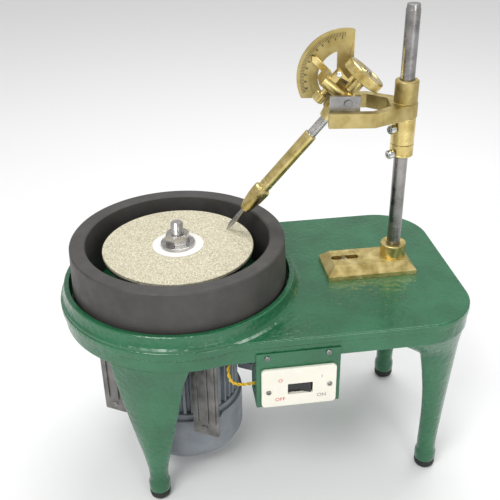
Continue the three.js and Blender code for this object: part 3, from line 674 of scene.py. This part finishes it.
FOOT_PROFILE = [(0, 0), (7.6, 0), (8.8, 0.6), (10.4, 2.6), (FOOT_R - 0.25, 5.5), (FOOT_R - 0.2, 8),
                (10.2, 9), (0, 9)]


def legs():
    for end, spec in LEGS.items():
        lo, hi = box_mm(f"foot_front_{end}")
        x, y = (lo[0] + hi[0]) / 2, (lo[1] + hi[1]) / 2
        for row, side in (("front", 1), ("rear", -1)):
            leg(f"leg_{row}_{end}", (x, y), side, **spec)
            at = Matrix.Translation((x * MM, y * side * MM, 0)) @ PLAIN
            turned(f"foot_{row}_{end}_fine", FOOT_PROFILE, at, "table", "rubber",
                   [f"foot_{row}_{end}"], 48, 0.5)


# ---------------------------------------------------------------- splash ring, lap and spindle
RING_Z = BOWL_FLOOR + SEAT
RING_PROFILE = [(104.2, RING_Z), (108.4, RING_Z), (106.9, 250), (106.2, 264.6), (104.8, 266.1), (92.4, 266.1),
                (90.9, 264.8), (91.2, 230), (91.2, RING_Z), (95, RING_Z), (95, 261), (102.6, 261),
                (104.2, RING_Z)]
PLATEN_PROFILE = [(6.3, 232), (13, 232), (15, 246), (70, 246.5), (73.5, 249), (73.5, 253.5), (6.3, 253.5),
                  (6.3, 232)]
LAP_PROFILE = [(6.4, 253.8), (75, 253.8), (75, 256.4), (74.6, 256.8), (6.4, 256.8), (6.4, 253.8)]
LABEL_PROFILE = [(8, 256.88), (25.5, 256.88), (25.5, 257.4), (8, 257.4), (8, 256.88)]
WASHER_PROFILE = [(6.3, 257.5), (17, 257.5), (17, 260.4), (6.3, 260.4), (6.3, 257.5)]
THREAD = [(6.2 - 0.55 * (i % 2), 271.5 + 0.75 * i) for i in range(13)]
SHAFT_END = [(4.6, 282.6), (0, 282.6)]
SHAFT_PROFILE = [(0, 32), (5, 32), (5, 62), (7.4, 62.2), (7.4, 178), (6.2, 178.2)] + THREAD + SHAFT_END
# node, profile, body, slot, material, segments, fillet
LAP_PIECES = [
    ("splash_ring", RING_PROFILE, "table", "ring", "ring", 180, 0.9),
    ("platen", PLATEN_PROFILE, "spindle", "iron", "iron", 120, 0.5),
    ("lap_disc", LAP_PROFILE, "spindle", "lap", "lap", 180, 0.12),
    ("lap_label", LABEL_PROFILE, "spindle", "label", "label", 120, 0.08),
    ("clamp_washer", WASHER_PROFILE, "spindle", "steel", "steel_top", 96, 0.6),
    ("spindle_shaft", SHAFT_PROFILE, "spindle", "steel", "steel_top", 48, 0.12),
]


def lap_set():
    for node, profile, body, slot, material, segments, fillet in LAP_PIECES:
        turned(node + "_fine", profile, AT_SPINDLE, body, material, [node], segments, fillet)


# ---------------------------------------------------------------- motor
# Two upright planes face each other across the motor, and each holds two hanger plates.
# Each plate is an azimuth and a distance along its plane.
HANGER_OFF, HANGER_HALF = 60.4, 14.0
HANGER_LOW, HANGER_TOP, HANGER_T, FLANGE_OUT = 77, 198, 3, 14
RIBS, RIB_HALF, RIB_LOW, RIB_HIGH = (-10, -2, 9), 1.4, 92, 192
HANGERS = ((-120, -52), (-120, 52), (60, -34), (60, 52))
UPRIGHT = Matrix(((1, 0, 0, 0), (0, 0, 1, 0), (0, 1, 0, 0), (0, 0, 0, 1)))      # swaps a plate's Y and Z


def hanger_place(azimuth):
    """Own axes: X along the plane, Y outward from the motor, Z up."""
    a = math.radians(azimuth)
    out = Vector((math.cos(a), math.sin(a), 0))
    origin = (SPINDLE_X * MM + out.x * HANGER_OFF * MM, out.y * HANGER_OFF * MM, 0)
    return axes(out.cross(UP), out, UP, origin)


def hanger(name, azimuth, middle):
    """A pressed plate with shallow ribs, a foot screw and a flange under the casting."""
    level = hanger_place(azimuth) @ Matrix.Translation((middle, 0, 0))
    face = level @ UPRIGHT
    half = HANGER_HALF
    plate = rounded_box(-half, half, HANGER_LOW, HANGER_TOP, 1.6)
    body = prism(name + "_fine", plate, 0, HANGER_T, face)
    for x in RIBS:
        rib = rounded_box(x - RIB_HALF, x + RIB_HALF, RIB_LOW, RIB_HIGH, 1.3)
        combine(body, prism("rib", rib, HANGER_T - 0.5, HANGER_T + 1.3, face), "UNION")
    flange = rounded_box(-half, half, 0.2, FLANGE_OUT, 1.6)
    combine(body, prism("flange", flange, HANGER_TOP - HANGER_T, HANGER_TOP, level), "UNION")
    bevelled(body, 0.4, 2)
    finish_piece(body, "table", "motor_plate", [name])
    at = face @ Matrix.Translation((2, HANGER_LOW + 8, HANGER_T - 0.1))
    screw = revolve(name + "_screw", [(0, 0), (3.1, 0), (3.1, 0.8), (2.2, 1.4), (0, 1.45)], at, 32, 0.1)
    combine(screw, prism("slot", rounded_box(-2.3, 2.3, -0.35, 0.35, 0.2), 0.8, 3, at), "DIFFERENCE")
    finish_piece(screw, "table", "steel_plain")


COWL_PROFILE = [(24, 20.5), (46, 20.5), (55, 24), (60, 33.5), (60, 77), (56.5, 78), (56.5, 83.8), (9, 83.8),
                (9, 79.5), (53.5, 79.5), (56.8, 75), (56.8, 34.5), (52.8, 26.9), (45, 23.7), (24, 23.7),
                (24, 20.5)]
BELL_PROFILE = [(9, 152.2), (54, 152.2), (56.5, 154), (56.5, 166), (50, 178), (24, 184), (24, 189.5),
                (13.2, 189.5), (13.2, 176), (9, 176), (9, 152.2)]
STATOR_PROFILE = [(36, 84), (51.2, 84), (55.5, 84.6), (55.5, 151.4), (51.2, 152), (36, 152), (36, 84)]
FINS, FIN_SHARE, FIN_ROOT = 44, 0.45, 51.2     # count, how much of each pitch is fin, radius between them
EAR_HALF, EAR_IN, EAR_OUT, EAR_LOW, EAR_HIGH = 10, -19, -0.1, 84.2, 92.8


def fins(angle, r, z):
    """A relief of upright cooling fins round the stator."""
    if r < FIN_ROOT - 1:
        return r
    return r if (angle / math.tau * FINS) % 1 < FIN_SHARE else FIN_ROOT


def motor():
    turned("motor_fan_cowl_fine", COWL_PROFILE, AT_SPINDLE, "table", "motor_grey",
           ["motor_fan_cowl"], 120, 1.2)
    turned("motor_upper_bell_fine", BELL_PROFILE, AT_SPINDLE, "table", "motor_grey",
           ["motor_upper_bell"], 96, 1.2)
    body = revolve("motor_stator_fine", STATOR_PROFILE, AT_SPINDLE, FINS * 8, 0, fins)
    for azimuth, middle in HANGERS:
        ear = rounded_box(middle - EAR_HALF, middle + EAR_HALF, EAR_IN, EAR_OUT, 3)
        combine(body, prism("ear", ear, EAR_LOW, EAR_HIGH, hanger_place(azimuth)), "UNION")
    finish_piece(body, "table", "motor_grey", ["motor_stator"])
    for i, (azimuth, middle) in enumerate(HANGERS):
        hanger("motor_hanger_" + "abcd"[i], azimuth, middle)


# ---------------------------------------------------------------- mast and carriage
SLEEVE_R, SLEEVE_GROOVE_R = 11.3, 11.0
# node, low end, high end and the height of its turned groove
SLEEVES = (("stop_collar", 337.2, 349.3, 339), ("lower_sleeve", 349.7, 376.3, 374))
SCREW_AZ = math.radians(207)    # both cap screws point left and a little forward
CAP_SCREW_PROFILE = [(0, 7.8), (1.8, 7.8), (1.8, 12.8), (4.3, 12.8), (4.3, 17.4), (3.7, 18), (2.2, 18),
                     (2.2, 15.8), (0, 15.8)]


def mast_set():
    lo, hi = box_mm("mast")
    r, z0, z1 = (hi[0] - lo[0]) / 2, lo[2], hi[2]
    turned("mast_fine", [(0, z0), (r, z0), (r, z1 - 5), (r - 0.5, z1 - 3.4), (r - 0.9, z1), (0, z1)], AT_MAST,
           "mast_base", "steel_mast", ["mast"], 72, 0.4)
    bore = r + 0.35
    for name, low, high, groove in SLEEVES:
        profile = [(bore, low), (SLEEVE_R, low), (SLEEVE_R, groove), (SLEEVE_GROOVE_R, groove + 0.3),
                   (SLEEVE_R, groove + 0.6), (SLEEVE_R, high), (bore, high), (bore, low)]
        turned(name + "_fine", profile, AT_MAST, "carriage", "brass_mast", [name], 72, 0.5)
    for name in ("stop_screw", "sleeve_screw"):
        cap_screw(name)


def cap_screw(name):
    lo, hi = box_mm(name)
    along = Vector((math.cos(SCREW_AZ), math.sin(SCREW_AZ), 0))
    place = axes(along.cross(UP), UP, along, (MAST_X * MM, 0, (lo[2] + hi[2]) / 2 * MM))
    turned(name + "_fine", CAP_SCREW_PROFILE, place, "carriage", "chrome", [name], 120, 0.15,
           flutes(24, 0.35, 13.2, 17.2))


# ---------------------------------------------------------------- quill and head
# Heights are along the quill from the trunnion axis.
QUILL_R, QUILL_BORE, QUILL_MARK_R = 4.8, 5.05, 4.55
QUILL_MARKS = [(r, z - 2 * i) for i in range(9)
               for r, z in ((QUILL_R, -31.2), (QUILL_MARK_R, -31.5), (QUILL_R, -31.8))]
QUILL_PROFILE = [(0, 31.5), (QUILL_R, 31.5), (QUILL_R, -30)] + QUILL_MARKS + [(QUILL_R, -60), (0, -60)]
NECK_PROFILE = [(QUILL_BORE, -28.6), (6.9, -28.6), (9.6, -17), (9.6, -8.4), (8.8, -7.6), (QUILL_BORE, -7.6),
                (QUILL_BORE, -28.6)]
QUILL_SLEEVE_PROFILE = [(0, -60.1), (QUILL_BORE, -60.1), (QUILL_BORE, -49.4), (6, -49.4), (6.4, -50),
                        (6.4, -113),
                        (6.1, -113.4), (6.1, -114.2), (6.4, -114.6), (6.4, -118.4), (6.1, -118.8),
                        (6.1, -121.9), (3.2, -121.9), (3.2, -134), (0, -134)]
CHUCK_PROFILE = [(3.5, -121.95), (7.4, -121.95), (8.8, -123.4), (9, -128), (8.4, -136), (6.9, -145.5),
                 (4.9, -152.6), (2.9, -152.6), (2.9, -135.5), (3.5, -135.5), (3.5, -121.95)]
DOP_PROFILE = [(0, -134.3), (2.5, -134.3), (2.5, -174.5), (0.5, -181.7), (0, -181.7)]
DRUM_PROFILE = [(QUILL_BORE, 5.9), (6.6, 5.9), (6.6, 20.4), (19.2, 20.4), (20, 21.2), (20, 21.95),
                (20, 22.05), (20, 28.55), (20, 28.65), (20, 29.4), (19.2, 30.2), (14, 30.2), (13.4, 29.6),
                (8, 29.6), (7.4, 30.2), (QUILL_BORE, 30.2), (QUILL_BORE, 5.9)]
THUMB_PROFILE = [(0, -20.5), (5.2, -20.5), (6, -19.6), (6, -12.4), (5.2, -11.5), (2.5, -11.5), (2.5, -2),
                 (0, -2)]
THUMB_AT = (19, -2, 0)
INDEX_MARKS, INDEX_SHARE, INDEX_ROOT = 96, 0.26, 19.6      # count, how much of each pitch is cut, cut radius
# node, profile, slot, material, fillet
QUILL_PIECES = [
    ("quill_shaft", QUILL_PROFILE, "steel", "steel_quill", 0),
    ("quill_neck", NECK_PROFILE, "brass", "brass_quill", 0.4),
    ("quill_sleeve", QUILL_SLEEVE_PROFILE, "brass", "brass_quill", 0.12),
    ("collet_chuck", CHUCK_PROFILE, "brass", "brass_quill", 0.4),
    ("dop", DOP_PROFILE, "steel", "steel_quill", 0.2),
]


def index_marks(angle, r, z):
    """A relief of fine cuts round the drum's band."""
    cut = r > 19.9 and 22 < z < 28.6 and (angle / math.tau * INDEX_MARKS) % 1 < INDEX_SHARE
    return INDEX_ROOT if cut else r


def quill_set():
    for name, profile, slot, material, fillet in QUILL_PIECES:
        turned(name + "_fine", profile, HEAD, BODY[name], material, [name], 64, fillet)
    turned("index_drum_fine", DRUM_PROFILE, HEAD, "quill", "brass_quill", ["index_drum"],
           INDEX_MARKS * 4, 0, index_marks)
    at = HEAD @ Matrix.Translation(THUMB_AT)
    turned("thumb_screw_fine", THUMB_PROFILE, at, "thumb", "brass_quill", ["thumb_screw"], 120, 0.1,
           flutes(24, 0.45, -19.4, -12.6))


QUAD_AT = axes(REACH, UP, TILT, (MAST_X * MM, 0, 0))
QUAD_X, QUAD_Z, QUAD_R, QUAD_IN = 55.4, 407.2, 46.3, 26.0
QUAD_NEAR, QUAD_FAR = 24.2, 27.3
QUAD_SILL, QUAD_TOP = -26, 98          # ends of the band, degrees above level
RELIEF = (18, 33.8)                    # radii of the front relief round the window
SCALE = (35.8, 43.4)                   # radii of the sunk scale band
TICK_END, TICK_LONG, TICK_SHORT, TICK_HALF = 43.2, 36.4, 39.4, 0.22
NUMBER_R, NUMBER_SIZE = 38.0, 2.7
LIMB = [(47.6, 392), (63.4, 392), (63.4, 452.4), (47.6, 452.4)]
TRUNNION = (56.8, 397.2)               # the pin's hole
TINE_TOP = 391                         # the band's inner edge stops above the fork's tine


def sector(name, r0, r1, a0, a1, z0, z1):
    inside = arc(QUAD_X, QUAD_Z, r0, a1, a0, 1.5)
    return prism(name, arc(QUAD_X, QUAD_Z, r1, a0, a1, 1.5) + inside, z0, z1, QUAD_AT)


def quadrant():
    inner = math.degrees(math.asin((TINE_TOP - QUAD_Z) / QUAD_IN))
    low = QUAD_Z + QUAD_R * math.sin(math.radians(QUAD_SILL))
    sill = (QUAD_X + QUAD_IN * math.cos(math.radians(inner)), low)
    band = arc(QUAD_X, QUAD_Z, QUAD_R, QUAD_SILL, QUAD_TOP, 1.5)
    band += arc(QUAD_X, QUAD_Z, QUAD_IN, QUAD_TOP, inner, 1.5) + [sill]
    plate = prism("quadrant_fine", band, QUAD_NEAR, QUAD_FAR, QUAD_AT)
    combine(plate, prism("limb", LIMB, QUAD_NEAR, QUAD_FAR, QUAD_AT), "UNION")
    combine(plate, sector("recess", *RELIEF, -60, 101, QUAD_NEAR - 1, QUAD_NEAR + 1), "DIFFERENCE")
    combine(plate, sector("scale", *SCALE, -21, 89.5, QUAD_NEAR - 1, QUAD_NEAR + 0.3), "DIFFERENCE")
    hole = prism("hole", arc(*TRUNNION, 3.3, 0, 350, 10), QUAD_NEAR - 2, QUAD_FAR + 2, QUAD_AT)
    combine(plate, hole, "DIFFERENCE")
    bevelled(plate, 0.3, 2)
    finish_piece(plate, "arm", "brass_dull", ["quadrant"])
    quadrant_ticks()
    quadrant_numbers()


def quadrant_ticks():
    lines = []
    for degree in range(-20, 89, 2):
        c, s = math.cos(math.radians(degree)), math.sin(math.radians(degree))
        low = TICK_SHORT if (degree - 4) % 10 else TICK_LONG
        corners = [(low, -TICK_HALF), (TICK_END, -TICK_HALF), (TICK_END, TICK_HALF), (low, TICK_HALF)]
        lines.append([(QUAD_X + r * c - h * s, QUAD_Z + r * s + h * c) for r, h in corners])
    flat_marks("quadrant_ticks", lines, QUAD_NEAR + 0.12, QUAD_NEAR + 0.4, QUAD_AT, "arm")


def quadrant_numbers():
    face = axes(-REACH, UP, -TILT, (MAST_X * MM, 0, 0))
    for i, degree in enumerate(range(-16, 85, 10)):
        a = math.radians(degree)
        x, z = QUAD_X + NUMBER_R * math.cos(a), QUAD_Z + NUMBER_R * math.sin(a)
        at = Matrix.Translation((-x, z, -QUAD_NEAR - 0.25))
        turn = Matrix.Rotation(math.pi / 2 - a, 4, "Z")
        figure = str(max(10 * (9 - i), 0))
        lettering(f"quadrant_number_{i}", figure, NUMBER_SIZE, face @ at @ turn, "arm", "ink")


# ---------------------------------------------------------------- switch
FRONT = axes((1, 0, 0), (0, 0, 1), (0, -1, 0), (0, 0, 0))
WINDOW = (9.7, 33.7, 151.3, 163.6)     # left, right, bottom and top of the rocker's window
MARK_SIZE = 5.6
# piece, text, X, Z, material
SWITCH_MARKS = (
    ("off_sign", "O", 2.6, 168.4, "red_mark"),
    ("off_word", "OFF", 2.4, 146.2, "red_mark"),
    ("on_sign", "I", 42.3, 169.2, "grey_mark"),
    ("on_word", "ON", 42.3, 147.0, "grey_mark"),
)


def switch():
    lo, hi = box_mm("switch_plate")
    plate = prism("switch_plate_fine", rounded_box(lo[0], hi[0], lo[2], hi[2], 4), -hi[1], -lo[1], FRONT)
    bevelled(plate, 0.9, 3)
    hole = prism("hole", rounded_box(*WINDOW, 0.8), -hi[1] - 3, -lo[1] + 3, FRONT)
    combine(plate, hole, "DIFFERENCE")
    finish_piece(plate, "table", "white_plastic", ["switch_plate"])
    face = -lo[1] + 0.02
    for name, text, x, z, ink in SWITCH_MARKS:
        at = FRONT @ Matrix.Translation((x, z, face))
        lettering("switch_" + name, text, MARK_SIZE, at, "table", ink)
    for name in ("plate_screw_left", "plate_screw_right", "bracket_screw_left", "bracket_screw_right"):
        cross_screw(name)


def cross_screw(name):
    lo, hi = box_mm(name)
    x, z = (lo[0] + hi[0]) / 2, (lo[2] + hi[2]) / 2
    r, h = (hi[0] - lo[0]) / 2, hi[1] - lo[1]
    at = FRONT @ Matrix.Translation((x, z, -hi[1]))
    profile = [(0, 0), (r, 0), (r, h * 0.45), (r * 0.86, h * 0.8), (r * 0.5, h * 0.97), (0, h)]
    head = revolve(name + "_fine", profile, at, 40, 0.1)
    for turn in (25, 115):
        slot = [(-r * 0.68, -0.34), (r * 0.68, -0.34), (r * 0.68, 0.34), (-r * 0.68, 0.34)]
        blade = prism("slot", slot, h * 0.35, h + 2, at @ Matrix.Rotation(math.radians(turn), 4, "Z"))
        combine(head, blade, "DIFFERENCE")
    finish_piece(head, "table", "steel_plain", [name])


# ---------------------------------------------------------------- motor lead, a twisted pair
LEAD = [(-32, -62, 192), (-38, -84, 184), (-44, -98, 172), (-42, -103, 161), (-33, -102, 155),
        (-20, -100, 153.4), (-8, -100, 153), (5.4, -100, 152)]
WIRE_R, WIRE_OFF, TWIST = 0.85, 0.83, 11        # wire radius, its offset from the route, pitch of the twist


def spline(points, step=0.8):
    """A Catmull-Rom curve through the points, sampled about every step."""
    pts = [Vector(p) for p in points]
    pts = [pts[0] * 2 - pts[1]] + pts + [pts[-1] * 2 - pts[-2]]
    out = []
    for a, b, c, d in zip(pts, pts[1:], pts[2:], pts[3:]):
        n = max(2, round((c - b).length / step))
        for i in range(n):
            t = i / n
            out.append(0.5 * (2 * b + (c - a) * t + (2 * a - 5 * b + 4 * c - d) * t * t
                              + (3 * b - a - 3 * c + d) * t ** 3))
    return out + [pts[-2]]


def strand(points, offset, radius, turns, phase, sides=12):
    """Verts and faces of one wire wound round a path."""
    verts, faces = [], []
    side = (points[1] - points[0]).cross(UP).normalized()
    total = len(points) - 1
    for i, p in enumerate(points):
        ahead = (points[min(i + 1, total)] - points[max(i - 1, 0)]).normalized()
        side = (side - ahead * side.dot(ahead)).normalized()
        up = ahead.cross(side)
        a = phase + math.tau * turns * i / total
        middle = p + (side * math.cos(a) + up * math.sin(a)) * offset
        for k in range(sides):
            b = math.tau * k / sides
            verts.append(middle + (side * math.cos(b) + up * math.sin(b)) * radius)
    for i in range(total):
        faces += [[i * sides + k, i * sides + (k + 1) % sides, (i + 1) * sides + (k + 1) % sides,
                   (i + 1) * sides + k] for k in range(sides)]
    faces += [list(range(sides))[::-1], [total * sides + k for k in range(sides)]]
    return verts, faces


def motor_lead():
    path = spline(LEAD)
    length = sum((b - a).length for a, b in zip(path, path[1:]))
    verts, faces = [], []
    for phase in (0, math.pi):
        v, f = strand(path, WIRE_OFF, WIRE_R, length / TWIST, phase)
        faces += [[k + len(verts) for k in face] for face in f]
        verts += v
    obj = raw_object("motor_lead_pair", verts, faces)
    finish_piece(obj, "table", "lead", ["motor_lead"], 60)


# ---------------------------------------------------------------- assembly
motor_lead()
casting()
legs()
lap_set()
motor()
mast_set()
quill_set()
quadrant()
switch()

# Finishes of CAD nodes that stay as they are, where they differ from their slot's.
FINISH = {
    "trunnion_yoke": "steel_plain",
    "trunnion_pin_near": "steel_dark",
    "motor_rotor": "steel_dark",
    "lap_nut": "steel_top",
    "fork_arm": "brass_dull",
    "pointer": "brass_bright",
}
for node in NODES:
    if node not in REPLACED:
        whole_node(node, FINISH.get(node, SLOT[node]))
